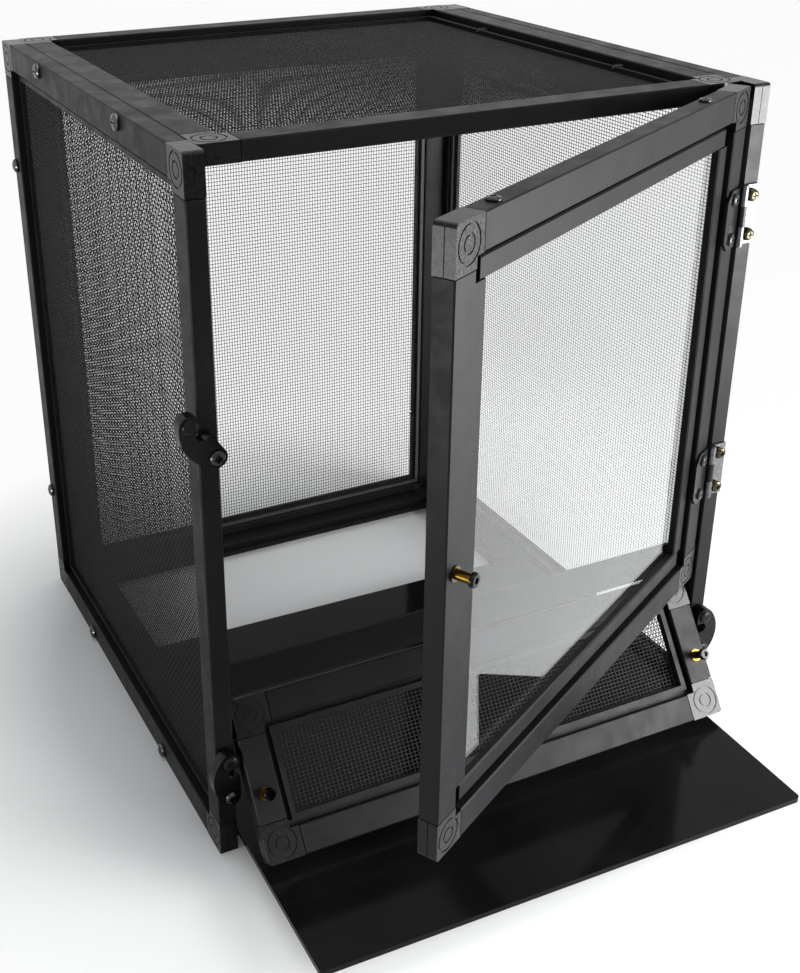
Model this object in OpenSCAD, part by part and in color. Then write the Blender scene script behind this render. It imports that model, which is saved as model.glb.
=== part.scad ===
// Terrarium cabinet of hollow screen-frame extrusions, with a hinged front door, a lift-out
// lower front panel, a sliding tray and three turn latches, all millimetres.
// X runs right, Y runs back from the front, Z is up.

/* [Cabinet] */
// Overall width
cab_w = 254; // [200:2:400]
// Overall depth
cab_d = 254; // [200:2:400]
// Overall height
cab_h = 304.8; // [240:0.8:480]
// Seam left between neighbouring panels
panel_gap = 0.2; // [0.1:0.1:0.6]
// Running gap behind the door and the lower panel
front_gap = 0.3; // [0.2:0.1:0.8]

/* [Frame extrusion] */
// Thickness of every panel
bar_t = 8; // [7:0.5:10]
// Width of the hollow tube
tube_w = 12.3; // [11:0.1:14]
// Wall of the tube
wall = 1.2; // [0.9:0.1:1.5]
// Chamfer on the tube's edges
tube_edge = 0.5; // [0.2:0.1:0.8]
// Width of the channel beside the tube
groove_w = 2.4; // [2:0.1:3]
// Width of the rib beyond the channel
rib_w = 2.3; // [1.8:0.1:3]
// How far the rib lies below the lower panel's outer face
rib_recess = 1.4; // [0.8:0.1:2]
// How far the rib lies below the outer face of the cabinet's own panels
deep_recess = 3; // [1.4:0.1:3.4]
// Depth of the web that carries the rib
web_z = 3.8; // [3.6:0.1:3.8]
// Thickness of the web
web_t = 0.9; // [0.7:0.1:1.1]
// Depth of the cloth plane below the outer face
cloth_z = 5; // [4.6:0.1:5.4]

/* [Corner pieces] */
// Side of the square corner piece
corner_s = 16.3; // [15:0.1:20]
// Rounding of its outer corner
corner_r = 1.4; // [0.6:0.1:3]
// Seam left between a corner piece and its tubes
corner_gap = 0.4; // [0.1:0.1:0.6]
// Length of the key in each tube
key_l = 20; // [12:1:30]
// Length of the keys in the lower panel's short stiles
low_key_l = 14; // [8:1:16]
// Clearance of the key in the tube
key_gap = 0.1; // [0.05:0.05:0.3]
// Outer radius of the ring on the face
ring_r = 6.6; // [5:0.1:7]
// Width of each ring groove
ring_w = 0.7; // [0.4:0.1:1]
// Depth of the ring grooves
ring_z = 0.35; // [0.2:0.05:0.6]

/* [Cloth and spline] */
// Wire size of the cloth
wire = 0.3; // [0.2:0.05:0.4]
// Openings along the longer side of a panel
net_n = 18; // [8:1:18]
// Side of the square spline cord
spline_s = 2; // [1.6:0.1:2.2]
// How far the spline stands clear of the web
spline_gap = 0.1; // [0.05:0.05:0.3]

/* [Door] */
// Gap between the door's free edge and the left post
door_gap = 3.3; // [2.5:0.1:6]
// Gap between the hinge post and the door
hinge_gap = 2; // [1.6:0.1:3]
// Height of the door's lower edge
door_z = 73.8; // [60:0.2:100]
// Angle at which the door stands open
door_open = 29; // [0:0.2:120]
// Recess of the glazing bead below the face
bead_recess = 1.9; // [1:0.1:2.2]
// Width of the glazing bead
bead_w = 7.7; // [6.5:0.1:10]
// Chamfer on the bead's edges
bead_edge = 0.6; // [0.3:0.1:1]
// Thickness of the clear pane
pane_t = 1.6; // [1.2:0.1:2]

/* [Lower panel] */
// Gap at each side of the lower panel
low_side_gap = 1.8; // [1:0.1:5]
// Height of its lower edge when it is closed
low_z = 2.5; // [1:0.1:6]
// Gap between it and the door above
low_gap = 2.3; // [1.8:0.1:6]
// Lean of the panel, its foot out in front
low_lean = 35.4; // [0:0.1:60]
// Height of the tilt line below the panel's top
tilt_drop = 12.95; // [8:0.05:20]

/* [Tray and crossbar] */
// Gap at each side of the tray when it lies square
tray_side_gap = 2.6; // [2.5:0.1:6]
// Room left behind the tray when it is pushed in
tray_end_gap = 4.9; // [4.8:0.1:10]
// Tray sheet
tray_t = 2.5; // [1.5:0.1:4]
// Distance that the tray is pulled out of the front
tray_out = 88.4; // [0:0.1:150]
// Small turn of the tray on the bottom frame
tray_turn = 1.1; // [0:0.1:1.2]
// Height of the crossbar strip
cross_h = 16; // [10:0.5:24]
// Thickness of the crossbar strip
cross_t = 1.6; // [1:0.1:1.8]

/* [Hardware] */
// Length of a hinge leaf
leaf_h = 25.5; // [20:0.5:30]
// Thickness of a hinge leaf
leaf_t = 1.2; // [1:0.1:1.5]
// Height of the lower hinge's middle above the door's lower edge
hinge_up = 56.5; // [52:0.1:66]
// Distance of the upper hinge's middle below the cabinet's top
hinge_down = 54.1; // [52:0.1:66]
// Radius of the hinge knuckle
knuckle_r = 1.9; // [1.7:0.1:2.1]
// Radius of the hinge pin
pin_r = 1; // [0.8:0.1:1.2]
// Distance from a latch's pivot to its finger end
latch_l = 17.4; // [17:0.1:22]
// Radius of a latch's ends
latch_r = 4.2; // [3.6:0.1:4.4]
// Depth of a latch's rounded back from its pivot line
latch_belly = 7.6; // [6:0.1:9]
// Distance from the pivot to the notch
notch_a = 11.6; // [11:0.1:12]
// Width of the notch
notch_w = 4.8; // [4.2:0.1:5]
// Thickness of a latch
latch_t = 5.2; // [4:0.1:6]
// Radius of a latch stud's sleeve
stud_r = 1.8; // [1.7:0.1:2]
// Distance of a stud from its panel's edge
stud_in = 5.5; // [5:0.1:7]

/* [Hidden] */
$fn = 40;
eps = 0.01;
past = 1;

// frame section
groove_x = tube_w + groove_w;
fin_x = groove_x + rib_w;
seam_s = corner_s + corner_gap;
mid_t = bar_t / 2;

// panels between the side panels
inner_x0 = bar_t + panel_gap;
inner_w = cab_w - 2 * inner_x0;
front_y = bar_t + front_gap;
back_y = cab_d - bar_t;
top_z = cab_h - bar_t;
org_y = front_y + tube_w / 2;

// door
door_x1 = cab_w - bar_t - hinge_gap;
door_w = door_x1 - bar_t - door_gap;
door_h = cab_h - door_z;
pin_x = door_x1 + hinge_gap / 2;
pin_y = -(knuckle_r + front_gap);
ledge_t = 1;
ledge_w = 6.7;
ledge_z = bar_t - tube_edge - ledge_t;
ledge_x = tube_w + ledge_w;
pane_z = ledge_z - pane_t;
pane_gap = 0.7;
pane_x = tube_w + pane_gap;
bead_t = pane_z - bead_recess;
bead_side_gap = 1.9;
bead_x = tube_w + bead_side_gap;
bead_gap = 0.1;
bead_end_in = 1.5;
bead_end = corner_s + bead_end_in;

// lower panel
low_x0 = bar_t + low_side_gap;
low_w = cab_w - 2 * low_x0;
low_h = door_z - low_gap - low_z;
tilt_y = 5.1;
tilt_z = low_z + low_h - tilt_drop;

// tray
tray_z = bar_t + front_gap;
tray_r = 2;
tray_w = inner_w - 2 * tray_side_gap;
tray_l = back_y - front_y - tray_end_gap;
tray_in_y = front_y + (tray_w / 2) * sin(tray_turn) + 0.1;
tray_shift = (tray_out + tray_in_y) * tan(tray_turn);
tray_cx = cab_w / 2 - (tray_l / 2) * sin(tray_turn) - tray_shift;

// crossbar
cross_z = door_z + panel_gap;
tab_y = 1.6;
tab_screw_y = (tab_y + front_y) / 2;
tab_screw_r = 1.3;
tab_head_r = 2.5;
hole_gap = 0.1;

// screws
side_screw_r = 1.7;
side_head_r = 3.4;
side_head_h = 2;
screw_bite = 6;
side_screw_l = bar_t + panel_gap + screw_bite;
top_front_in = 72;
top_rear_in = 67;
side_y = [top_front_in, cab_d - top_rear_in];
bottom_front_in = 74;
bottom_rear_in = 68.5;
side_bottom_y = [bottom_front_in, cab_d - bottom_rear_in];
back_low_in = 60;
back_high_in = 60.8;
side_back_z = [back_low_in, cab_h - back_high_in];
leaf_screw_r = 1.4;
leaf_screw_l = screw_bite;
leaf_pitch = 8.5;
leaf_head_r = 2.8;
leaf_head_h = 2.6;
leaf_side_gap = 0.4;
leaf_edge_in = 0.4;
post_leaf_x0 = pin_x + knuckle_r + leaf_side_gap;
post_leaf_x1 = cab_w - leaf_edge_in;
post_screw_x = pin_x + knuckle_r + hole_gap + leaf_head_r;
hinge_lo = door_z + hinge_up;
hinge_hi = cab_h - hinge_down;
door_leaf_w = 13.7;
door_leaf_cut = 4;
door_leaf_in = 1.3;
door_leaf_root = 2;
door_screw_in = 6.7;
door_head_r = 2.7;
door_head_h = 1.3;
top_screw_left = 27.7;
top_screw_right = 39;
top_screw_in = [top_screw_left, door_w - top_screw_right];
top_head_r = 2.6;
top_head_h = 1.2;
knuckle_gap = 0.3;
pin_gap = 0.05;

// latches
pivot_hi_in = 5;
pivot_lo_in = 4;
pivot_r = 1.5;
pivot_gap = 0.1;
latch_boss_h = 0.7;
latch_y0 = -front_gap;
latch_y1 = latch_y0 - latch_boss_h - latch_t;
turn_hi = 35;
pivot_head_r = 3;
pivot_head_h = 1.5;
dome_r = 3.1;
dome_h = 1.2;
notch_floor = 0.9;
arm = latch_belly - latch_r;
belly_c = (latch_l * latch_l / 4 - arm * arm) / (2 * arm);

// studs
flange_r = 2.8;
flange_h = 0.6;
stud_hole = 1.35;
stud_screw_r = 1.25;
stud_head_r = 2.7;
stud_head_h = 1.6;
stud_top = latch_y1 - front_gap;
stud_up = 115.6;
stud_low_up = 28.75;
pivot_hi_rise = 3.2;
pivot_lo_rise = 3.75;
pivot_hi_z = door_z + stud_up + pivot_hi_rise;
pivot_lo_z = low_z + stud_low_up + pivot_lo_rise;
stud_screw_l = 6;
hex_r = 1.3;
hex_z = 1;

black = [0.11, 0.11, 0.12];
charcoal = [0.25, 0.25, 0.26];
steel = [0.75, 0.75, 0.77];
brass = [0.75, 0.58, 0.25];

// ---- placing ----
module place() { translate([-cab_w / 2, -org_y, 0]) children(); }
module at_left() { rotate([90, 0, 90]) children(); }
module at_right() { translate([cab_w, cab_d, 0]) rotate([90, 0, -90]) children(); }
module at_back() { translate([inner_x0, cab_d, 0]) rotate([90, 0, 0]) children(); }
module at_top() { translate([inner_x0, cab_d, cab_h]) rotate([180, 0, 0]) children(); }
module at_bottom() { translate([inner_x0, front_y, 0]) children(); }
module door_pose() {
  translate([pin_x, pin_y, 0]) rotate([0, 0, door_open]) translate([-pin_x, -pin_y, 0]) children();
}
module at_door() { translate([door_x1, 0, door_z]) rotate([90, 0, 180]) children(); }
module lower_pose() {
  translate([0, tilt_y, tilt_z]) rotate([-low_lean, 0, 0]) translate([0, -tilt_y, -tilt_z]) children();
}
module at_lower() { translate([low_x0 + low_w, 0, low_z]) rotate([90, 0, 180]) children(); }

// four places round a panel of size l by h
module four_bars(l, h, rails) {
  if (rails) {
    children(0);
    translate([l, h, 0]) rotate([0, 0, 180]) children(0);
  } else {
    translate([0, h, 0]) rotate([0, 0, -90]) children(0);
    translate([l, 0, 0]) rotate([0, 0, 90]) children(0);
  }
}
module four_corners(l, h, kx = key_l, ky = key_l) {
  corner_piece(kx, ky, true);
  translate([l, 0, 0]) rotate([0, 0, 90]) corner_piece(ky, kx, false);
  translate([l, h, 0]) rotate([0, 0, 180]) corner_piece(kx, ky, true);
  translate([0, h, 0]) rotate([0, 0, -90]) corner_piece(ky, kx, false);
}

// ---- frame pieces ----
// hollow tube section: x from the outer edge, y down from the outer face
module tube_section() {
  c = tube_edge;
  difference() {
    polygon([[c, 0], [tube_w - c, 0], [tube_w, c], [tube_w, bar_t - c], [tube_w - c, bar_t],
             [c, bar_t], [0, bar_t - c], [0, c]]);
    translate([wall, wall]) square([tube_w - 2 * wall, bar_t - 2 * wall]);
  }
}
module tube(l) {
  translate([seam_s, 0, 0]) rotate([90, 0, 90]) linear_extrude(height = l - 2 * seam_s) tube_section();
}
// plan of a fin that is rooted in the tube wall and mitred at both ends
module fin_plan(l, x1) {
  root = tube_w - wall / 2;
  polygon([[seam_s, root], [l - seam_s, root], [l - seam_s, tube_w], [l - tube_w, tube_w],
           [l - x1, x1], [x1, x1], [tube_w, tube_w], [seam_s, tube_w]]);
}
module rib_plan(l) {
  polygon([[groove_x, groove_x], [l - groove_x, groove_x], [l - fin_x, fin_x], [fin_x, fin_x]]);
}
module screen_bar(l, recess = deep_recess) {
  tube(l);
  translate([0, 0, web_z]) linear_extrude(height = web_t) fin_plan(l, groove_x + rib_w / 2);
  translate([0, 0, recess]) linear_extrude(height = cloth_z - recess) rib_plan(l);
}
module glazing_bar(l) {
  tube(l);
  translate([0, 0, ledge_z]) linear_extrude(height = ledge_t) fin_plan(l, ledge_x);
}
module corner_plan() {
  difference() {
    union() {
      translate([corner_r, 0]) square([corner_s - corner_r, corner_s]);
      translate([0, corner_r]) square([corner_s, corner_s - corner_r]);
      translate([corner_r, corner_r]) circle(r = corner_r);
    }
    translate([tube_w, tube_w]) square(corner_s);
  }
}
module ring_groove(r) {
  c = tube_w / 2 + corner_r;
  translate([c, c, -past]) difference() {
    cylinder(r = r, h = past + ring_z);
    cylinder(r = r - ring_w, h = past + ring_z + eps);
  }
}
// moulded corner with two keys that fill the tube ends, k1 along X and k2 along Y, and a
// parting line on one outer side
module corner_piece(k1, k2, line_on_x) {
  k = wall + key_gap;
  kw = tube_w - 2 * k;
  kt = bar_t - 2 * k;
  seam = 0.3;
  difference() {
    linear_extrude(height = bar_t) corner_plan();
    ring_groove(ring_r);
    ring_groove(ring_r / 2);
    translate([-past, -past, mid_t - seam / 2])
      cube(line_on_x ? [past + seam, corner_s + 2 * past, seam] : [corner_s + 2 * past, past + seam, seam]);
  }
  translate([corner_s - past, k, k]) cube([k1 + past, kw, kt]);
  translate([k, corner_s - past, k]) cube([kw, k2 + past, kt]);
}
// screen cloth as two crossing layers of wires that end in the channel
module cloth(l, h) {
  e = groove_x + eps * 20;
  pitch = (max(l, h) - 2 * e) / net_n;
  nu = max(2, floor((l - 2 * e) / pitch));
  nv = max(2, floor((h - 2 * e) / pitch));
  for (i = [0 : nu])
    translate([e + (l - 2 * e - wire) * i / nu, e, cloth_z]) cube([wire, h - 2 * e, wire]);
  for (j = [0 : nv])
    translate([e, e + (h - 2 * e - wire) * j / nv, cloth_z + wire + eps]) cube([l - 2 * e, wire, wire]);
}
module spline_ring(l, h) {
  a = groove_x - spline_gap - spline_s;
  b = a + spline_s;
  translate([0, 0, web_z + web_t + spline_gap]) linear_extrude(height = spline_s) difference() {
    translate([a, a]) square([l - 2 * a, h - 2 * a]);
    translate([b, b]) square([l - 2 * b, h - 2 * b]);
  }
}

// ---- screws ----
// pan-head screw, head up along +Z from the seat at the origin, cross recess in the head
module pan_screw(hr, hh, r, l) {
  slot = 0.7;
  difference() {
    rotate_extrude() polygon([[0, 0], [hr, 0], [hr, hh * 0.45], [hr * 0.86, hh * 0.8], [hr * 0.55, hh], [0, hh]]);
    translate([-slot / 2, -hr / 2, hh - slot]) cube([slot, hr, slot + past]);
    translate([-hr / 2, -slot / 2, hh - slot]) cube([hr, slot, slot + past]);
  }
  translate([0, 0, -l]) cylinder(r = r, h = l + eps);
}
module flat_screw(hr, hh, r, l) {
  slot = 0.6;
  difference() {
    translate([0, 0, -hh]) cylinder(r1 = r, r2 = hr, h = hh);
    translate([-slot / 2, -hr / 2, -slot]) cube([slot, hr, slot + past]);
    translate([-hr / 2, -slot / 2, -slot]) cube([hr, slot, slot + past]);
  }
  translate([0, 0, -l]) cylinder(r = r, h = l - hh + eps);
}
// places of the side panel screws: [y, z]
function side_places() = concat(
  [for (y = side_y) [y, cab_h - mid_t]],
  [for (y = side_bottom_y) [y, mid_t]],
  [for (z = side_back_z) [cab_d - mid_t, z]]);
module side_holes() {
  for (p = side_places()) translate([-past, p[0], p[1]]) rotate([0, 90, 0])
    cylinder(r = side_screw_r + hole_gap, h = cab_w + 2 * past);
}
module side_screws() {
  for (p = side_places()) translate([0, p[0], p[1]]) rotate([0, -90, 0])
    pan_screw(side_head_r, side_head_h, side_screw_r, side_screw_l);
}
// holes in the front edges of the side panels
module post_holes() {
  for (z = [hinge_lo, hinge_hi], s = [-1, 1])
    translate([post_screw_x, leaf_screw_l, z + s * leaf_pitch]) rotate([90, 0, 0])
      cylinder(r = leaf_screw_r + hole_gap, h = 2 * leaf_screw_l);
  for (p = latch_places())
    translate([p[0], leaf_screw_l, p[1]]) rotate([90, 0, 0])
      cylinder(r = pivot_r + hole_gap, h = 2 * leaf_screw_l);
  for (x = [bar_t - leaf_screw_l, cab_w - bar_t - past], z = cross_screw_z())
    translate([x, tab_screw_y, z]) rotate([0, 90, 0])
      cylinder(r = tab_screw_r + hole_gap, h = leaf_screw_l + past);
}
function cross_screw_z() = [cross_z + cross_h / 4, cross_z + cross_h * 3 / 4];
function latch_places() = [[pivot_hi_in, pivot_hi_z], [pivot_lo_in, pivot_lo_z], [cab_w - pivot_lo_in, pivot_lo_z]];

// ---- side panels ----
module side_frame(rails) {
  four_bars(cab_d, cab_h, rails) screen_bar(rails ? cab_d : cab_h);
}
module left_stiles() {
  color(charcoal) place() difference() {
    at_left() side_frame(false);
    side_holes();
    post_holes();
  }
}
module left_rails() {
  color(charcoal) place() difference() {
    at_left() side_frame(true);
    side_holes();
  }
}
module left_corners() {
  color(black) place() difference() {
    at_left() four_corners(cab_d, cab_h);
    post_holes();
  }
}
module left_mesh() { color(black) place() at_left() cloth(cab_d, cab_h); }
module left_spline() { color(black) place() at_left() spline_ring(cab_d, cab_h); }
module right_stiles() {
  color(charcoal) place() difference() {
    at_right() side_frame(false);
    side_holes();
    post_holes();
  }
}
module right_rails() {
  color(charcoal) place() difference() {
    at_right() side_frame(true);
    side_holes();
  }
}
module right_corners() {
  color(black) place() difference() {
    at_right() four_corners(cab_d, cab_h);
    post_holes();
  }
}
module right_mesh() { color(black) place() at_right() cloth(cab_d, cab_h); }
module right_spline() { color(black) place() at_right() spline_ring(cab_d, cab_h); }

// ---- back, top and bottom ----
back_h = top_z - panel_gap;
top_d = cab_d - front_y;
bottom_d = back_y - panel_gap - front_y;
module back_stiles() {
  color(charcoal) place() difference() {
    at_back() four_bars(inner_w, back_h, false) screen_bar(back_h);
    side_holes();
  }
}
module back_rails() { color(charcoal) place() at_back() four_bars(inner_w, back_h, true) screen_bar(inner_w); }
module back_corners() { color(black) place() at_back() four_corners(inner_w, back_h); }
module back_mesh() { color(black) place() at_back() cloth(inner_w, back_h); }
module back_spline() { color(black) place() at_back() spline_ring(inner_w, back_h); }
module top_stiles() {
  color(charcoal) place() difference() {
    at_top() four_bars(inner_w, top_d, false) screen_bar(top_d);
    side_holes();
  }
}
module top_rails() { color(charcoal) place() at_top() four_bars(inner_w, top_d, true) screen_bar(inner_w); }
module top_corners() { color(black) place() at_top() four_corners(inner_w, top_d); }
module top_mesh() { color(black) place() at_top() cloth(inner_w, top_d); }
module top_spline() { color(black) place() at_top() spline_ring(inner_w, top_d); }
module bottom_stiles() {
  color(charcoal) place() difference() {
    at_bottom() four_bars(inner_w, bottom_d, false) screen_bar(bottom_d);
    side_holes();
  }
}
module bottom_rails() {
  color(charcoal) place() at_bottom() four_bars(inner_w, bottom_d, true) screen_bar(inner_w);
}
module bottom_corners() { color(black) place() at_bottom() four_corners(inner_w, bottom_d); }

// ---- door ----
// holes for the hinge, stud and top screws, in the closed door's place
module door_holes() {
  for (z = [hinge_lo, hinge_hi], s = [-1, 1])
    translate([door_x1 - door_screw_in, leaf_screw_l, z + s * leaf_pitch]) rotate([90, 0, 0])
      cylinder(r = leaf_screw_r + hole_gap, h = 2 * leaf_screw_l);
  translate([door_x1 - door_w + stud_in, stud_screw_l, door_z + stud_up]) rotate([90, 0, 0])
    cylinder(r = stud_hole, h = 2 * stud_screw_l);
  for (a = top_screw_in)
    translate([door_x1 - door_w + a, mid_t, cab_h - leaf_screw_l])
      cylinder(r = leaf_screw_r + hole_gap, h = 2 * leaf_screw_l);
}
module door_stiles() {
  color(charcoal) place() door_pose() difference() {
    at_door() four_bars(door_w, door_h, false) glazing_bar(door_h);
    door_holes();
  }
}
module door_rails() {
  color(charcoal) place() door_pose() difference() {
    at_door() four_bars(door_w, door_h, true) glazing_bar(door_w);
    door_holes();
  }
}
module door_corners() {
  color(black) place() door_pose() difference() {
    at_door() four_corners(door_w, door_h);
    door_holes();
  }
}
module door_pane() {
  color([0.85, 0.9, 0.92, 0.35]) place() door_pose() at_door() translate([pane_x, pane_x, pane_z])
    cube([door_w - 2 * pane_x, door_h - 2 * pane_x, pane_t]);
}
// flat bead with a bevelled outer edge: long ones along the rails, short ones between them
module bead(l) {
  c = bead_edge;
  rotate([90, 0, 90]) linear_extrude(height = l)
    polygon([[0, c], [c, 0], [bead_w - c, 0], [bead_w, c], [bead_w, bead_t], [0, bead_t]]);
}
module door_beads() {
  side0 = bead_x + bead_w + bead_gap;
  color(charcoal) place() door_pose() at_door() {
    four_bars(door_w, door_h, true) translate([bead_end, bead_x, bead_recess]) bead(door_w - 2 * bead_end);
    four_bars(door_w, door_h, false) translate([side0, bead_x, bead_recess]) bead(door_h - 2 * side0);
  }
}

// ---- lower panel ----
function lower_stud_x() = [low_x0 + stud_in, low_x0 + low_w - stud_in];
module lower_holes() {
  for (x = lower_stud_x()) translate([x, stud_screw_l, low_z + stud_low_up]) rotate([90, 0, 0])
    cylinder(r = stud_hole, h = 2 * stud_screw_l);
}
module lower_stiles() {
  color(charcoal) place() lower_pose() difference() {
    at_lower() four_bars(low_w, low_h, false) screen_bar(low_h, rib_recess);
    lower_holes();
  }
}
module lower_rails() {
  color(charcoal) place() lower_pose() at_lower() four_bars(low_w, low_h, true) screen_bar(low_w, rib_recess);
}
module lower_corners() {
  color(black) place() lower_pose() difference() {
    at_lower() four_corners(low_w, low_h, key_l, low_key_l);
    lower_holes();
  }
}
module lower_mesh() { color(black) place() lower_pose() at_lower() cloth(low_w, low_h); }
module lower_spline() { color(black) place() lower_pose() at_lower() spline_ring(low_w, low_h); }

// ---- crossbar and tray ----
module crossbar() {
  x0 = bar_t + hole_gap;
  x1 = cab_w - bar_t - hole_gap;
  color(black) place() difference() {
    union() {
      translate([x0, front_y, cross_z]) cube([x1 - x0, cross_t, cross_h]);
      translate([x0, tab_y, cross_z]) cube([cross_t, front_y + cross_t - tab_y, cross_h]);
      translate([x1 - cross_t, tab_y, cross_z]) cube([cross_t, front_y + cross_t - tab_y, cross_h]);
    }
    for (z = cross_screw_z()) {
      translate([x0 + cross_t, tab_screw_y, z]) rotate([0, 90, 0]) countersink();
      translate([x1 - cross_t, tab_screw_y, z]) rotate([0, -90, 0]) countersink();
    }
  }
}
module countersink() {
  translate([0, 0, -cross_t]) cylinder(r1 = tab_screw_r + hole_gap, r2 = tab_head_r + hole_gap, h = cross_t);
  translate([0, 0, -eps]) cylinder(r = tab_head_r + hole_gap, h = past);
  translate([0, 0, -cross_t - past]) cylinder(r = tab_screw_r + hole_gap, h = past + eps);
}
module crossbar_screws() {
  x0 = bar_t + hole_gap + cross_t;
  color(steel) place() for (z = cross_screw_z()) {
    translate([x0, tab_screw_y, z]) rotate([0, 90, 0])
      flat_screw(tab_head_r, cross_t, tab_screw_r, cross_t + leaf_screw_l - past);
    translate([cab_w - x0, tab_screw_y, z]) rotate([0, -90, 0])
      flat_screw(tab_head_r, cross_t, tab_screw_r, cross_t + leaf_screw_l - past);
  }
}
module tray() {
  color([0.05, 0.05, 0.05]) place() translate([tray_cx, -tray_out, tray_z]) rotate([0, 0, -tray_turn])
    translate([-tray_w / 2, 0, 0]) linear_extrude(height = tray_t) {
      translate([tray_r, 0]) square([tray_w - 2 * tray_r, tray_l]);
      translate([0, tray_r]) square([tray_w, tray_l - 2 * tray_r]);
      for (x = [tray_r, tray_w - tray_r], y = [tray_r, tray_l - tray_r]) translate([x, y]) circle(r = tray_r);
    }
}

// ---- hinges ----
knuckle_h = leaf_h / 3;
module barrel(z0, h) { translate([pin_x, pin_y, z0]) cylinder(r = knuckle_r, h = h); }
module hinge_bore(z) {
  translate([pin_x, pin_y, z - leaf_h]) cylinder(r = pin_r + pin_gap, h = 2 * leaf_h);
}
module post_leaf(z) {
  difference() {
    union() {
      translate([post_leaf_x0, -leaf_t, z - leaf_h / 2]) cube([post_leaf_x1 - post_leaf_x0, leaf_t, leaf_h]);
      for (z0 = [z - leaf_h / 2, z + leaf_h / 2 - knuckle_h + knuckle_gap / 2]) {
        barrel(z0, knuckle_h - knuckle_gap / 2);
        translate([pin_x, -leaf_t, z0])
          cube([post_leaf_x1 - pin_x, leaf_t, knuckle_h - knuckle_gap / 2]);
      }
    }
    hinge_bore(z);
    for (s = [-1, 1]) translate([post_screw_x, past, z + s * leaf_pitch]) rotate([90, 0, 0])
      cylinder(r = leaf_screw_r + hole_gap, h = leaf_t + 2 * past);
  }
}
// leaf on the door with its two outer corners cut off
module door_leaf(z) {
  x0 = door_x1 - door_leaf_w;
  x1 = door_x1 - door_leaf_in;
  c = door_leaf_cut;
  h = leaf_h / 2;
  difference() {
    union() {
      translate([0, 0, z]) rotate([90, 0, 0]) linear_extrude(height = leaf_t)
        polygon([[x0, -h + c], [x0 + c, -h], [x1, -h], [x1, h], [x0 + c, h], [x0, h - c]]);
      barrel(z - knuckle_h / 2 + knuckle_gap / 2, knuckle_h - knuckle_gap);
      translate([door_x1 - door_leaf_root, -leaf_t, z - knuckle_h / 2 + knuckle_gap / 2])
        cube([pin_x - door_x1 + door_leaf_root, leaf_t, knuckle_h - knuckle_gap]);
    }
    hinge_bore(z);
    for (s = [-1, 1]) translate([door_x1 - door_screw_in, past, z + s * leaf_pitch]) rotate([90, 0, 0])
      cylinder(r = leaf_screw_r + hole_gap, h = leaf_t + 2 * past);
  }
}
module hinge_post_leaves() { color(steel) place() for (z = [hinge_lo, hinge_hi]) post_leaf(z); }
module hinge_door_leaves() { color(black) place() door_pose() for (z = [hinge_lo, hinge_hi]) door_leaf(z); }
module hinge_pins() {
  head = 0.4;
  color(steel) place() for (z = [hinge_lo, hinge_hi]) translate([pin_x, pin_y, z - leaf_h / 2 - head]) {
    cylinder(r = pin_r, h = leaf_h + 2 * head);
    cylinder(r = knuckle_r - knuckle_gap, h = head - eps);
    translate([0, 0, leaf_h + head + eps]) cylinder(r = knuckle_r - knuckle_gap, h = head - eps);
  }
}
module post_leaf_screws() {
  color(steel) place() for (z = [hinge_lo, hinge_hi], s = [-1, 1])
    translate([post_screw_x, -leaf_t, z + s * leaf_pitch]) rotate([90, 0, 0])
      pan_screw(leaf_head_r, leaf_head_h, leaf_screw_r, leaf_t + leaf_screw_l - past);
}
module door_leaf_screws() {
  color(black) place() door_pose() for (z = [hinge_lo, hinge_hi], s = [-1, 1])
    translate([door_x1 - door_screw_in, -leaf_t, z + s * leaf_pitch]) rotate([90, 0, 0])
      pan_screw(door_head_r, door_head_h, leaf_screw_r, leaf_t + leaf_screw_l - past);
}

// ---- latches ----
// plan with the pivot at the origin, the finger end up, the notched edge towards +X
module latch_plan() {
  big = 3 * latch_l;
  difference() {
    union() {
      circle(r = latch_r);
      translate([0, latch_l]) circle(r = latch_r);
      square([latch_r, latch_l]);
      intersection() {
        translate([belly_c, latch_l / 2]) circle(r = belly_c + latch_belly);
        polygon([[belly_c, latch_l / 2], [belly_c - big * belly_c, latch_l / 2 - big * latch_l / 2],
                 [-big * belly_c, latch_l / 2], [belly_c - big * belly_c, latch_l / 2 + big * latch_l / 2]]);
        translate([-big, -big]) square([big + latch_r, 3 * big]);
      }
    }
    circle(r = pivot_r + pivot_gap);
    translate([-notch_floor + notch_w / 2, notch_a]) circle(r = notch_w / 2);
    translate([-notch_floor + notch_w / 2, notch_a - notch_w / 2]) square([2 * latch_r, notch_w]);
  }
}
// latch in its own frame: plan in XY, its back towards -Z at the origin
module latch_body() {
  boss_r = latch_r - 0.6;
  translate([0, 0, latch_boss_h]) linear_extrude(height = latch_t) latch_plan();
  difference() {
    cylinder(r = boss_r, h = latch_boss_h + eps);
    translate([0, 0, -past]) cylinder(r = pivot_r + pivot_gap, h = latch_boss_h + 2 * past);
  }
  translate([0, latch_l, latch_boss_h + latch_t - eps]) rotate_extrude()
    polygon([[0, 0], [dome_r, 0], [dome_r, dome_h * 0.4], [dome_r * 0.84, dome_h * 0.8],
             [dome_r * 0.6, dome_h], [0, dome_h]]);
}
module latch_at(x, z, turn, side) {
  color(black) place() translate([x, latch_y0, z]) rotate([0, -turn, 0]) mirror([side < 0 ? 1 : 0, 0, 0])
    rotate([90, 0, 0]) latch_body();
}
module latch_upper_left() { latch_at(pivot_hi_in, pivot_hi_z, turn_hi, 1); }
module latch_lower_left() { latch_at(pivot_lo_in, pivot_lo_z, 0, 1); }
module latch_lower_right() { latch_at(cab_w - pivot_lo_in, pivot_lo_z, 0, -1); }
module latch_screws() {
  color(black) place() for (p = latch_places()) translate([p[0], latch_y1 - pivot_gap, p[1]]) rotate([90, 0, 0])
    pan_screw(pivot_head_r, pivot_head_h, pivot_r, -latch_y1 + pivot_gap + leaf_screw_l - past);
}

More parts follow.
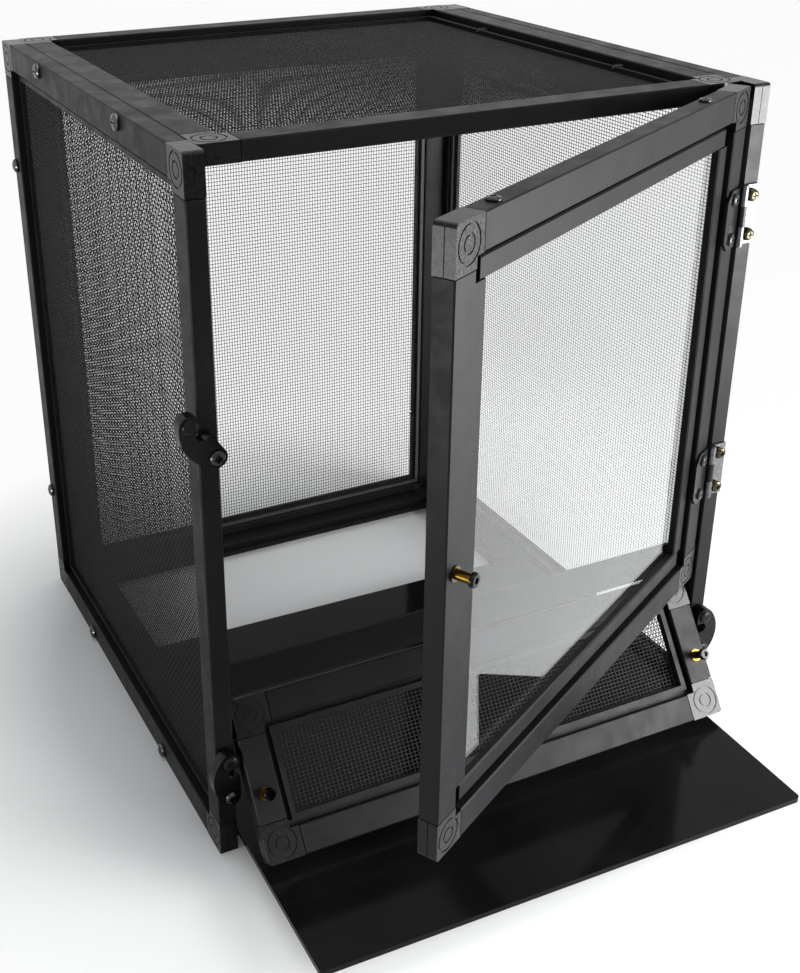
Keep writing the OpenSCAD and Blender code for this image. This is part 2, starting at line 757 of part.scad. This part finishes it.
// ---- studs ----
module stud_sleeve() {
  h = -stud_top;
  difference() {
    union() {
      cylinder(r = flange_r, h = flange_h);
      cylinder(r = stud_r, h = h);
    }
    translate([0, 0, -past]) cylinder(r = stud_hole, h = h + 2 * past);
  }
}
module stud_screw() {
  h = -stud_top;
  translate([0, 0, h]) difference() {
    rotate_extrude() polygon([[0, 0], [stud_head_r, 0], [stud_head_r, stud_head_h * 0.5],
                              [stud_head_r * 0.8, stud_head_h], [0, stud_head_h]]);
    translate([0, 0, stud_head_h - hex_z]) cylinder(r = hex_r, h = hex_z + past, $fn = 6);
  }
  translate([0, 0, past - stud_screw_l]) cylinder(r = stud_screw_r, h = h + stud_screw_l - past + eps);
}
module at_door_stud() {
  color(brass) place() door_pose() translate([door_x1 - door_w + stud_in, 0, door_z + stud_up])
    rotate([90, 0, 0]) children();
}
module at_lower_studs() {
  place() lower_pose() for (x = lower_stud_x()) translate([x, 0, low_z + stud_low_up])
    rotate([90, 0, 0]) children();
}
module door_stud_sleeve() { at_door_stud() stud_sleeve(); }
module door_stud_screw() { color(steel) at_door_stud() stud_screw(); }
module lower_stud_sleeves() { color(brass) at_lower_studs() stud_sleeve(); }
module lower_stud_screws() { color(steel) at_lower_studs() stud_screw(); }
module door_top_screws() {
  color(black) place() door_pose() for (a = top_screw_in)
    translate([door_x1 - door_w + a, mid_t, cab_h]) pan_screw(top_head_r, top_head_h, leaf_screw_r, leaf_screw_l - past);
}
module left_panel_screws() { color(steel) place() side_screws(); }
module right_panel_screws() { color(steel) place() translate([cab_w, 0, 0]) mirror([1, 0, 0]) side_screws(); }

left_stiles();
left_rails();
left_corners();
left_mesh();
left_spline();
right_stiles();
right_rails();
right_corners();
right_mesh();
right_spline();
back_stiles();
back_rails();
back_corners();
back_mesh();
back_spline();
top_stiles();
top_rails();
top_corners();
top_mesh();
top_spline();
bottom_stiles();
bottom_rails();
bottom_corners();
door_stiles();
door_rails();
door_corners();
door_pane();
door_beads();
lower_stiles();
lower_rails();
lower_corners();
lower_mesh();
lower_spline();
crossbar();
crossbar_screws();
tray();
hinge_post_leaves();
hinge_door_leaves();
hinge_pins();
post_leaf_screws();
door_leaf_screws();
latch_upper_left();
latch_lower_left();
latch_lower_right();
latch_screws();
door_stud_sleeve();
door_stud_screw();
lower_stud_sleeves();
lower_stud_screws();
door_top_screws();
left_panel_screws();
right_panel_screws();
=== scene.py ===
"""The terrarium cabinet's finishes, woven screens, lamps and camera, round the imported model."""

import math

import bmesh
import bpy
import numpy as np
from mathutils import Matrix, Vector


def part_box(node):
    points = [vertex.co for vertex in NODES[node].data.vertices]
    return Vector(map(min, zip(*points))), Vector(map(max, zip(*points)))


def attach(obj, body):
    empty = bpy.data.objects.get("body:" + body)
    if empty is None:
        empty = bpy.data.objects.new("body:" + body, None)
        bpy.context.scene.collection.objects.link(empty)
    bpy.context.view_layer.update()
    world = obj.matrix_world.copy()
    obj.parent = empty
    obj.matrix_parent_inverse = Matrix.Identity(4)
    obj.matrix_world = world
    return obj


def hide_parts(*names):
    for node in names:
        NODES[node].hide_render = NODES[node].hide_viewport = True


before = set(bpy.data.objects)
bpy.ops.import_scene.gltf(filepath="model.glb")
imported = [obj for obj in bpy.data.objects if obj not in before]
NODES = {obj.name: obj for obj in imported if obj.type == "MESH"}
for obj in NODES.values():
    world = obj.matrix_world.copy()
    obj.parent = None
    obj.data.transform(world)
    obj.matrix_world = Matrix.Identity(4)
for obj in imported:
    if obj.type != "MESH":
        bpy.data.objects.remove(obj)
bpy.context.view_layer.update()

# The cabinet's own measures, in millimetres, in a corner frame: its origin is the cabinet's
# lower left front corner. In it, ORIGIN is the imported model's origin, which lies under the
# middle of the bottom frame's front rail.
CAB_W, CAB_D, CAB_H = 254.0, 254.0, 304.8
BAR_T, TUBE_W = 8.0, 12.3
FRONT_GAP = 0.3
ORIGIN = Vector((CAB_W / 2, BAR_T + FRONT_GAP + TUBE_W / 2, 0.0))
# How far the door stands open and the lower panel leans back, in degrees.
DOOR_OPEN, LOWER_LEAN = 29.0, 35.4
MM = 0.001
X, Y, Z = range(3)


def spot(x, y, z):
    """A point of the corner frame, in millimetres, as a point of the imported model's frame."""
    return (Vector((x, y, z)) - ORIGIN) * MM


def add_object(name, data):
    """A new object in the scene, made of data."""
    o = bpy.data.objects.new(name, data)
    bpy.context.scene.collection.objects.link(o)
    return o


# ---------------------------------------------------------------- camera
# Fitted to the cabinet's straight edges in the photograph. CAMERA_TURN, a rotation vector in
# radians, and CAMERA_MOVE, in millimetres, take a point of the corner frame to the camera's
# own frame, which has X right, Y down and Z away from the lens. CENTRE_PX is the pixel that
# the lens looks straight at, and the two clips are in metres.
PHOTO_W, PHOTO_H = 800, 973
FOCAL_PX = 1362.377
CENTRE_PX = (335.703, 436.403)
CAMERA_TURN = Vector((1.974631, -0.458109, 0.279378))
CAMERA_MOVE = Vector((-49.2963, 180.3014, 586.1909))
SENSOR_MM = 36.0
CLIP_NEAR, CLIP_FAR = 0.01, 50.0


def make_camera():
    """The photograph's own camera."""
    turn = Matrix.Rotation(CAMERA_TURN.length, 3, CAMERA_TURN.normalized())
    back = turn.transposed()
    eye = -(back @ CAMERA_MOVE)
    # Blender's camera has Y up and looks along -Z.
    flip = Matrix(((1, 0, 0), (0, -1, 0), (0, 0, -1)))
    data = bpy.data.cameras.new("camera")
    data.sensor_fit = "HORIZONTAL"
    data.sensor_width = SENSOR_MM
    data.lens = FOCAL_PX / PHOTO_W * SENSOR_MM
    data.shift_x = (PHOTO_W / 2 - CENTRE_PX[0]) / PHOTO_W
    data.shift_y = (CENTRE_PX[1] - PHOTO_H / 2) / PHOTO_W
    data.clip_start = CLIP_NEAR
    data.clip_end = CLIP_FAR
    camera = add_object("camera", data)
    camera.matrix_world = Matrix.Translation(spot(*eye)) @ (back @ flip).to_4x4()
    bpy.context.scene.camera = camera


make_camera()


# ---------------------------------------------------------------- node trees
# The colour sockets of a mix node, which holds a set of sockets for each kind of value.
MIX_A, MIX_B, MIX_OUT = 6, 7, 2


class Tree:
    """The node tree of a material or of the world, built by short calls."""

    def __init__(self, owner, output="ShaderNodeOutputMaterial"):
        owner.use_nodes = True
        self.owner = owner
        self.tree = owner.node_tree
        self.tree.nodes.clear()
        self.out = self.add(output)

    def add(self, kind, **values):
        node = self.tree.nodes.new(kind)
        for key, value in values.items():
            setattr(node, key, value)
        return node

    def link(self, a, b):
        self.tree.links.new(a, b)

    def set_or_link(self, socket, value):
        """Feed a socket from another one, or give it a colour or a number."""
        if isinstance(value, bpy.types.NodeSocket):
            self.link(value, socket)
        elif isinstance(value, (tuple, list)):
            socket.default_value = (*value, 1)
        else:
            socket.default_value = value

    def coords(self, scale=(1, 1, 1), turn=(0, 0, 0)):
        """Object coordinates in millimetres, turned and then scaled."""
        where = self.add("ShaderNodeTexCoord").outputs["Object"]
        if any(turn):
            first = self.add("ShaderNodeMapping")
            first.inputs["Rotation"].default_value = turn
            self.link(where, first.inputs["Vector"])
            where = first.outputs["Vector"]
        second = self.add("ShaderNodeMapping")
        second.inputs["Scale"].default_value = [s / MM for s in scale]
        self.link(where, second.inputs["Vector"])
        return second.outputs["Vector"]

    def noise(self, scale, detail=2.0, rough=0.5, where=None):
        """Noise with scale cells to the millimetre, or over the coordinates in where."""
        n = self.add("ShaderNodeTexNoise")
        n.inputs["Scale"].default_value = scale
        n.inputs["Detail"].default_value = detail
        n.inputs["Roughness"].default_value = rough
        self.link(self.coords() if where is None else where, n.inputs["Vector"])
        return n.outputs["Fac"]

    def spread(self, value, low, high, start=0.35, end=0.65):
        """Stretch value, from start to end, to run from low to high, and no further."""
        m = self.add("ShaderNodeMapRange")
        m.inputs["From Min"].default_value = start
        m.inputs["From Max"].default_value = end
        m.inputs["To Min"].default_value = low
        m.inputs["To Max"].default_value = high
        self.link(value, m.inputs["Value"])
        return m.outputs["Result"]

    def math(self, operation, a, b):
        m = self.add("ShaderNodeMath", operation=operation)
        self.link(a, m.inputs[0])
        self.link(b, m.inputs[1])
        return m.outputs[0]

    def blend(self, fac, a, b):
        """Colour a where fac is 0 and colour b where it is 1."""
        m = self.add("ShaderNodeMix", data_type="RGBA")
        self.set_or_link(m.inputs[MIX_A], a)
        self.set_or_link(m.inputs[MIX_B], b)
        self.link(fac, m.inputs[0])
        return m.outputs[MIX_OUT]

    def bump(self, height, distance, strength, below=None):
        """The normal of dents distance millimetres deep, on top of the one below."""
        b = self.add("ShaderNodeBump")
        b.inputs["Strength"].default_value = strength
        b.inputs["Distance"].default_value = distance * MM
        self.link(height, b.inputs["Height"])
        if below is not None:
            self.link(below, b.inputs["Normal"])
        return b.outputs["Normal"]

    def surface(self, colour, rough, normal=None, **sockets):
        """Finish with a principled shader. A socket's name has _ for each space."""
        p = self.add("ShaderNodeBsdfPrincipled")
        self.set_or_link(p.inputs["Base Color"], colour)
        self.set_or_link(p.inputs["Roughness"], rough)
        for key, value in sockets.items():
            p.inputs[key.replace("_", " ")].default_value = value
        if normal is not None:
            self.link(normal, p.inputs["Normal"])
        self.link(p.outputs["BSDF"], self.out.inputs["Surface"])

    def shine(self, kind, colour, strength):
        """An emission or a background of one colour."""
        s = self.add(kind)
        self.set_or_link(s.inputs["Color"], colour)
        s.inputs["Strength"].default_value = strength
        return s.outputs[0]

    def two_shaders(self, fac, a, b):
        """Finish with shader a where fac is 0 and shader b where it is 1."""
        mix = self.add("ShaderNodeMixShader")
        self.link(fac, mix.inputs[0])
        self.link(a, mix.inputs[1])
        self.link(b, mix.inputs[2])
        self.link(mix.outputs[0], self.out.inputs["Surface"])


def new_material(name):
    return Tree(bpy.data.materials.new(name))


# ---------------------------------------------------------------- materials
# Satin charcoal, its lighter clouds, and the lines that the die leaves along a bar, with
# how far they hide the charcoal and their cells to the millimetre across and along.
CHARCOAL = (0.003, 0.0031, 0.0035)
CHARCOAL_CLOUD = (0.005, 0.0052, 0.0056)
DIE_LINE = (0.010, 0.0103, 0.0113)
LINE_SHARE = 0.35
LINES_ACROSS, LINES_ALONG = 4.0, 0.03


def anodised(name, along, turn=(0, 0, 0)):
    """Satin charcoal aluminium, with faint die lines along one axis of the turned bar."""
    t = new_material(name)
    stretch = [LINES_ACROSS] * 3
    stretch[along] = LINES_ALONG
    lines = t.noise(scale=1.0, detail=3.0, where=t.coords(stretch, turn))
    grain = t.noise(scale=5.0)
    cloud = t.noise(scale=0.03, detail=3.0)
    touched = t.noise(scale=0.09, detail=4.0, rough=0.6)
    tone = t.blend(t.spread(cloud, 0, 1), CHARCOAL, CHARCOAL_CLOUD)
    tone = t.blend(t.spread(lines, 0, LINE_SHARE), tone, DIE_LINE)
    fine = t.bump(grain, distance=0.008, strength=0.5)
    normal = t.bump(lines, distance=0.005, strength=0.5, below=fine)
    t.surface(tone, t.spread(touched, low=0.37, high=0.5), normal, Specular_IOR_Level=0.09)
    return t.owner


# How many times lighter a plastic's clouds are than the rest of it.
CLOUD_LIFT = 1.5


def moulded(name, colour, rough, grain, scale, shine):
    """Black plastic with a moulding's unevenness, grain millimetres deep."""
    t = new_material(name)
    fine = t.noise(scale=scale, detail=3.0)
    cloud = t.noise(scale=0.2)
    tone = t.blend(t.spread(cloud, 0, 1), colour, [c * CLOUD_LIFT for c in colour])
    normal = t.bump(fine, distance=grain, strength=0.6)
    t.surface(tone, t.spread(fine, *rough), normal, Specular_IOR_Level=shine)
    return t.owner


# Painted shade darkens a screw's recess and the ring round its head, where another face is nearer
# than NOOK
# millimetres: the shade is full where no more than the first of the next two shares of the view is
# open, and ends where the second is. The third number is the shade's tone as a share of the worn
# metal's.
NOOK = 0.8
SHADE_FULL, SHADE_END = 0.35, 0.8
RECESS_SHADE = 0.05


def metal(name, colour, rough, worn):
    """Bare or plated metal, bright on its open faces, with painted shade darkening its recesses."""
    t = new_material(name)
    fine = t.noise(scale=6.0, detail=3.0)
    cloud = t.noise(scale=0.5)
    tone = t.blend(t.spread(cloud, 0, 1), colour, worn)
    # Painted shade: ambient occlusion darkens the tone in recesses and round screw heads.
    nook = t.add("ShaderNodeAmbientOcclusion", samples=8)
    nook.inputs["Distance"].default_value = NOOK * MM
    unshaded = t.spread(nook.outputs["AO"], 0, 1, SHADE_FULL, SHADE_END)
    tone = t.blend(unshaded, [c * RECESS_SHADE for c in worn], tone)
    normal = t.bump(fine, distance=0.004, strength=0.5)
    t.surface(tone, t.spread(fine, *rough), normal, Metallic=1.0)
    return t.owner


# The tint of the clear pane and of its clearer patches, and its index of refraction.
PANE, PANE_CLEARER = (0.93, 0.955, 0.955), (0.965, 0.98, 0.98)
PANE_INDEX = 1.49


def clear_pane():
    """The door's clear pane, with a faint haze."""
    t = new_material("clear_pane")
    haze = t.noise(scale=0.02)
    tone = t.blend(t.spread(haze, 0, 1), PANE, PANE_CLEARER)
    t.surface(
        tone, 0.0, Transmission_Weight=1.0, IOR=PANE_INDEX, Specular_IOR_Level=0.25
    )
    return t.owner


TRAY, TRAY_CLOUD = (0.003, 0.003, 0.0035), (0.005, 0.005, 0.0055)


def smooth_sheet():
    """The tray's gloss black, with a little unevenness from dust."""
    t = new_material("black_sheet")
    cloud = t.noise(scale=0.02, detail=3.0)
    dust = t.noise(scale=1.2, detail=4.0, rough=0.7)
    tone = t.blend(t.spread(cloud, 0, 1), TRAY, TRAY_CLOUD)
    normal = t.bump(dust, distance=0.002, strength=0.3)
    t.surface(tone, t.spread(cloud, low=0.08, high=0.13), normal, Specular_IOR_Level=0.1)
    return t.owner


WIRE, WIRE_CLOUD = (0.003, 0.003, 0.0033), (0.006, 0.006, 0.0065)


def cloth_wire():
    """The dull black coat of the cloth's wires."""
    t = new_material("screen_cloth")
    cloud = t.noise(scale=0.05, detail=3.0)
    fine = t.noise(scale=6.0)
    tone = t.blend(t.spread(cloud, 0, 1), WIRE, WIRE_CLOUD)
    t.surface(tone, t.spread(fine, low=0.38, high=0.5), Specular_IOR_Level=0.22)
    return t.owner


# The tones of the plastics and metals, and of each metal's worn patches.
BLACK = (0.004, 0.004, 0.0047)
SATIN_BLACK = (0.004, 0.004, 0.0045)
GLOSS_BLACK = (0.003, 0.003, 0.0036)
RUBBER = (0.008, 0.008, 0.008)
STEEL, STEEL_WORN = (0.1, 0.1, 0.103), (0.07, 0.07, 0.072)
BLUED, BLUED_WORN = (0.05, 0.05, 0.052), (0.03, 0.03, 0.031)
BRASS, BRASS_WORN = (0.11, 0.068, 0.01), (0.08, 0.049, 0.007)
CHROME, CHROME_WORN = (0.014, 0.014, 0.0145), (0.01, 0.01, 0.0103)
NICKEL, NICKEL_WORN = (0.11, 0.11, 0.112), (0.06, 0.06, 0.062)
PLATED, PLATED_WORN = (0.07, 0.059, 0.04), (0.035, 0.029, 0.018)
DOOR_TURN = (0, 0, math.radians(DOOR_OPEN))
LOWER_TURN = (math.radians(LOWER_LEAN), 0, 0)
MATS = {
    "x": anodised("anodised_x", X),
    "y": anodised("anodised_y", Y),
    "z": anodised("anodised_z", Z),
    "door_x": anodised("anodised_door_x", X, DOOR_TURN),
    "door_z": anodised("anodised_door_z", Z, DOOR_TURN),
    "low_x": anodised("anodised_low_x", X, LOWER_TURN),
    "low_z": anodised("anodised_low_z", Z, LOWER_TURN),
    "corner": moulded("corner_plastic", BLACK, (0.22, 0.3), grain=0.006, scale=0.8, shine=0.16),
    "cord": moulded("spline_rubber", RUBBER, (0.55, 0.7), grain=0.03, scale=2.0, shine=0.5),
    "latch": moulded(
        "latch_plastic", GLOSS_BLACK, (0.16, 0.26), grain=0.006, scale=1.5, shine=0.13
    ),
    "wire": cloth_wire(),
    "pane": clear_pane(),
    "sheet": smooth_sheet(),
    "steel": metal("hinge_steel", STEEL, (0.24, 0.36), STEEL_WORN),
    "dark": moulded("black_leaf", SATIN_BLACK, (0.2, 0.34), grain=0.006, scale=5.0, shine=0.14),
    "blued": metal("black_screw", BLUED, (0.16, 0.26), BLUED_WORN),
    "brass": metal("brass", BRASS, (0.2, 0.3), BRASS_WORN),
    "chrome": metal("chrome", CHROME, (0.14, 0.22), CHROME_WORN),
    "nickel": metal("nickel", NICKEL, (0.12, 0.2), NICKEL_WORN),
    "plated": metal("plated", PLATED, (0.14, 0.22), PLATED_WORN),
}
FRAMES = ("left", "right", "back", "top", "bottom", "door", "lower")
SCREENED = ("left", "right", "back", "top", "lower")
WEARS = {
    "z": ["left_stiles", "right_stiles", "back_stiles"],
    "y": ["left_rails", "right_rails", "top_stiles", "bottom_stiles"],
    "x": ["back_rails", "top_rails", "bottom_rails", "crossbar"],
    "door_z": ["door_stiles", "door_beads"],
    "door_x": ["door_rails"],
    "low_z": ["lower_stiles"],
    "low_x": ["lower_rails"],
    "corner": [panel + "_corners" for panel in FRAMES],
    "cord": [panel + "_spline" for panel in SCREENED],
    "latch": ["latch_upper_left", "latch_lower_left", "latch_lower_right"],
    "pane": ["door_pane"],
    "sheet": ["tray"],
    "steel": ["hinge_post_leaves", "hinge_pins"],
    "dark": ["hinge_door_leaves"],
    "blued": ["door_leaf_screws", "latch_screws", "crossbar_screws", "door_top_screws"],
    "brass": ["door_stud_sleeve", "lower_stud_sleeves"],
    "chrome": ["door_stud_screw", "lower_stud_screws"],
    "nickel": ["left_panel_screws", "right_panel_screws"],
    "plated": ["post_leaf_screws"],
}
for key, names in WEARS.items():
    for name in names:
        slots = NODES[name].data.materials
        slots.clear()
        slots.append(MATS[key])


# ---------------------------------------------------------------- woven screens
# The cloth has more threads one way than the other, and each panel's lies its own way. Where
# the cloth goes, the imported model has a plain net: two layers of square wires, NET_WIRE thick.
WIRE_R = 0.17
FINE, COARSE = 1.61, 1.99
WIRE_SIDES = 4
NET_WIRE = 0.3
LEANING = "leaning"


def strands(corner, along, across, out, length, width, phase, gap, step):
    """Wires that run along one way of a cloth, each over one cross wire and under the next.

    corner is the cloth's corner and out its normal. The wires lie gap apart and meet a
    cross wire at each step. phase is 1 for one way of the cloth and -1 for the other.
    Everything is in millimetres, but the points come back in metres.
    """
    count = int(round(width / gap))
    steps = int(round(length / step))
    rows = (np.arange(count) + 0.5) * width / count
    stops = np.concatenate(([0.0], (np.arange(steps) + 0.5) * length / steps, [length]))
    over = np.where((np.arange(steps)[None, :] + np.arange(count)[:, None]) % 2, 1.0, -1.0)
    ends = np.zeros((count, 1))
    lift = np.concatenate((ends, over, ends), axis=1) * phase * WIRE_R
    centre = (
        corner
        + along * stops[None, :, None]
        + across * rows[:, None, None]
        + out * lift[:, :, None]
    )
    ring = [across * WIRE_R, out * WIRE_R, -across * WIRE_R, -out * WIRE_R]
    points = np.stack([centre + r for r in ring], axis=2)
    index = np.arange(count * len(stops) * WIRE_SIDES).reshape(count, len(stops), WIRE_SIDES)
    here, there = index[:, :-1], index[:, 1:]
    here_next, there_next = np.roll(here, -1, axis=2), np.roll(there, -1, axis=2)
    walls = np.stack([here, here_next, there_next, there], axis=-1).reshape(-1, 4)
    first = index[:, 0, ::-1].reshape(-1, 4)
    last = index[:, -1].reshape(-1, 4)
    return points.reshape(-1, 3) * MM, np.concatenate([walls, first, last])


def quad_mesh(name, points, quads, mat):
    """An object of smooth quads, from arrays of its points and of their numbers."""
    mesh = bpy.data.meshes.new(name)
    mesh.vertices.add(len(points))
    mesh.vertices.foreach_set("co", np.asarray(points, np.float32).ravel())
    mesh.loops.add(quads.size)
    mesh.loops.foreach_set("vertex_index", quads.astype(np.int32).ravel())
    mesh.polygons.add(len(quads))
    mesh.polygons.foreach_set("loop_start", np.arange(len(quads), dtype=np.int32) * 4)
    mesh.polygons.foreach_set("use_smooth", np.full(len(quads), True))
    mesh.update(calc_edges=True)
    mesh.validate()
    mesh.materials.append(mat)
    return add_object(name, mesh)


def flat_ways(extent, thin):
    """The two ways in a cloth that is thin along one axis, its normal, and its two sizes."""
    axes = np.eye(3)
    u, v = (i for i in range(3) if i != thin)
    return axes[u], axes[v], axes[thin], (extent[u], extent[v])


def leaning_ways(extent):
    """The same for the lower panel's cloth, whose head leans back from its foot."""
    lean = math.radians(LOWER_LEAN)
    side = np.array((1.0, 0.0, 0.0))
    up = np.array((0.0, math.sin(lean), math.cos(lean)))
    out = np.array((0.0, -math.cos(lean), math.sin(lean)))
    wide, deep, tall = extent
    # The box round a leaning net holds its thickness too, once each way.
    thickness = 2 * NET_WIRE
    slope = tall * math.cos(lean) + deep * math.sin(lean) - thickness * math.sin(2 * lean)
    return side, up, out, (wide, slope)


def screen(node, body, lies, pitch):
    """A woven screen in place of a cloth node, with its wires pitch apart both ways.

    lies is the axis that the cloth is thin along, or LEANING for the lower panel's.
    """
    low, high = (np.array(v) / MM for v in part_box(node))
    extent = high - low
    u, v, out, size = leaning_ways(extent) if lies == LEANING else flat_ways(extent, lies)
    corner = (low + high) / 2 - u * size[0] / 2 - v * size[1] / 2
    for tag, along, across, length, width, phase, gap, step in (
        ("warp", v, u, size[1], size[0], 1, pitch[0], pitch[1]),
        ("weft", u, v, size[0], size[1], -1, pitch[1], pitch[0]),
    ):
        points, quads = strands(corner, along, across, out, length, width, phase, gap, step)
        o = quad_mesh(node + "_" + tag, points, quads, MATS["wire"])
        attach(o, body)
        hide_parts(node)


screen("left_mesh", "cabinet", X, (FINE, COARSE))
screen("right_mesh", "cabinet", X, (COARSE, FINE))
screen("back_mesh", "cabinet", Y, (FINE, COARSE))
screen("top_mesh", "cabinet", Z, (COARSE, FINE))
screen("lower_mesh", "lower_panel", LEANING, (COARSE, FINE))


# ---------------------------------------------------------------- screw points
# The side screws' threaded points. Each starts in the end of its solid shank, and runs on
# through the next panel's bar to just past that bar's inner rib.
POINT_R, ROOT_R, TIP_R = 1.7, 1.4, 0.1
THREAD = 0.8
POINT_IN, POINT_OUT, POINT_END = 14.0, 24.5, 26.2
POINT_SIDES = 16
# How far the screws lie from the cabinet's front, back, underside and top.
TOP_FRONT_IN, TOP_REAR_IN = 72.0, 67.0
BOTTOM_FRONT_IN, BOTTOM_REAR_IN = 74.0, 68.5
BACK_LOW_IN, BACK_HIGH_IN = 60.0, 60.8
MID_T = BAR_T / 2
SIDE_SCREWS = [
    (TOP_FRONT_IN, CAB_H - MID_T),
    (CAB_D - TOP_REAR_IN, CAB_H - MID_T),
    (BOTTOM_FRONT_IN, MID_T),
    (CAB_D - BOTTOM_REAR_IN, MID_T),
    (CAB_D - MID_T, BACK_LOW_IN),
    (CAB_D - MID_T, CAB_H - BACK_HIGH_IN),
]


def thread_outline():
    """How far in from the cabinet's side each ring of a point lies, and its radius."""
    outline = []
    for i in range(int((POINT_OUT - POINT_IN) / THREAD)):
        outline.append((POINT_IN + i * THREAD, ROOT_R))
        outline.append((POINT_IN + (i + 0.5) * THREAD, POINT_R))
    return outline + [(POINT_OUT, ROOT_R), (POINT_END, TIP_R)]


def add_point(bm, from_left, y, z):
    """One screw's point, on an axis that runs in from the left or the right side."""
    angles = [2 * math.pi * k / POINT_SIDES for k in range(POINT_SIDES)]
    rings = []
    for reach, radius in thread_outline():
        x = reach if from_left else CAB_W - reach
        places = (
            spot(x, y + radius * math.cos(a), z + radius * math.sin(a)) for a in angles
        )
        rings.append([bm.verts.new(place) for place in places])
    for low, high in zip(rings, rings[1:]):
        for k in range(POINT_SIDES):
            m = (k + 1) % POINT_SIDES
            bm.faces.new((low[k], low[m], high[m], high[k]))
    bm.faces.new(rings[0])
    bm.faces.new(rings[-1])


def screw_points():
    """All twelve side screws' points, as one piece."""
    bm = bmesh.new()
    for from_left in (True, False):
        for y, z in SIDE_SCREWS:
            add_point(bm, from_left, y, z)
    bmesh.ops.recalc_face_normals(bm, faces=bm.faces)
    mesh = bpy.data.meshes.new("side_screw_points")
    bm.to_mesh(mesh)
    bm.free()
    mesh.materials.append(MATS["dark"])
    o = add_object("side_screw_points", mesh)
    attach(o, "cabinet")


screw_points()


# ---------------------------------------------------------------- stage
# How much of the floor's white comes from its own glow: little near the cabinet, so that the
# shadow stays, and most of it far off, as on a studio sweep. The glow grows from the first to
# the second distance of GLOW_SEEN, or GLOW_MIRRORED in a reflection, in metres from its centre.
GLOW_NEAR, GLOW_FAR = 0.03, 0.95
GLOW_SEEN = (0.16, 0.3)
GLOW_MIRRORED = (0.2, 0.65)
GLOW_CENTRE = (0.0, 0.1, 0.0)
WHITE = (1.0, 1.0, 1.0)
FLOOR_TONE = (0.72, 0.73, 0.735)
FLOOR_HALF = 6.0
SKY_TONE = (0.92, 0.96, 1.0)
SKY_POWER = 0.3
# Where the two high lamps point, in metres.
AIM = (0, 0.1, 0.15)


def make_floor():
    """A white floor that glows of itself away from the cabinet."""
    s = FLOOR_HALF
    mesh = bpy.data.meshes.new("floor")
    mesh.from_pydata([(-s, -s, 0), (s, -s, 0), (s, s, 0), (-s, s, 0)], [], [(0, 1, 2, 3)])
    o = add_object("floor", mesh)
    t = new_material("floor")
    diffuse = t.add("ShaderNodeBsdfDiffuse")
    t.set_or_link(diffuse.inputs["Color"], FLOOR_TONE)
    away = t.add("ShaderNodeVectorMath", operation="SUBTRACT")
    away.inputs[1].default_value = GLOW_CENTRE
    t.link(t.add("ShaderNodeTexCoord").outputs["Object"], away.inputs[0])
    reach = t.add("ShaderNodeVectorMath", operation="LENGTH")
    t.link(away.outputs["Vector"], reach.inputs[0])
    far = reach.outputs["Value"]
    path = t.add("ShaderNodeLightPath").outputs
    direct = t.math("MAXIMUM", path["Is Camera Ray"], path["Is Transmission Ray"])
    seen = t.math("MULTIPLY", direct, t.spread(far, GLOW_NEAR, GLOW_FAR, *GLOW_SEEN))
    dim = t.spread(far, GLOW_NEAR, GLOW_FAR, *GLOW_MIRRORED)
    mirrored = t.math("MULTIPLY", path["Is Glossy Ray"], dim)
    glow = t.shine("ShaderNodeEmission", WHITE, strength=1.0)
    t.two_shaders(t.math("MAXIMUM", seen, mirrored), diffuse.outputs[0], glow)
    mesh.materials.append(t.owner)


def make_world():
    """A backdrop that is white to look at and in reflections, and gives only a little light."""
    t = Tree(bpy.data.worlds.new("world"), "ShaderNodeOutputWorld")
    lit = t.shine("ShaderNodeBackground", SKY_TONE, SKY_POWER)
    seen = t.shine("ShaderNodeBackground", WHITE, strength=1.0)
    path = t.add("ShaderNodeLightPath").outputs
    direct = t.math("MAXIMUM", path["Is Camera Ray"], path["Is Transmission Ray"])
    t.two_shaders(t.math("MAXIMUM", direct, path["Is Glossy Ray"]), lit, seen)
    bpy.context.scene.world = t.owner


def softbox(name, at, towards, size, power):
    """A rectangular lamp of so many watts, seen only by its light and in reflections."""
    light = bpy.data.lights.new(name, "AREA")
    light.shape = "RECTANGLE"
    light.size, light.size_y = size
    light.energy = power
    o = add_object(name, light)
    o.visible_camera = False
    o.visible_transmission = False
    at, towards = Vector(at), Vector(towards)
    facing = (towards - at).to_track_quat("-Z", "Y").to_matrix().to_4x4()
    o.matrix_world = Matrix.Translation(at) @ facing


make_floor()
make_world()
softbox("top", at=(0.1, 0.3, 1.7), towards=AIM, size=(1.2, 1.2), power=12)
softbox("front", at=(0.4, -1.2, 1.6), towards=AIM, size=(0.9, 0.9), power=5)
softbox("side", at=(0.68, -0.62, 0.28), towards=(0.12, -0.03, 0.2), size=(0.4, 0.6), power=7.5)
softbox("low_right", at=(0.45, -0.38, 0.16), towards=(0.05, -0.1, 0.15), size=(0.4, 0.28), power=10)
softbox("low_left", at=(-0.62, -0.12, 0.08), towards=(-0.07, -0.12, 0.25), size=(0.24, 0.2), power=2)

bpy.context.scene.view_settings.view_transform = "Standard"
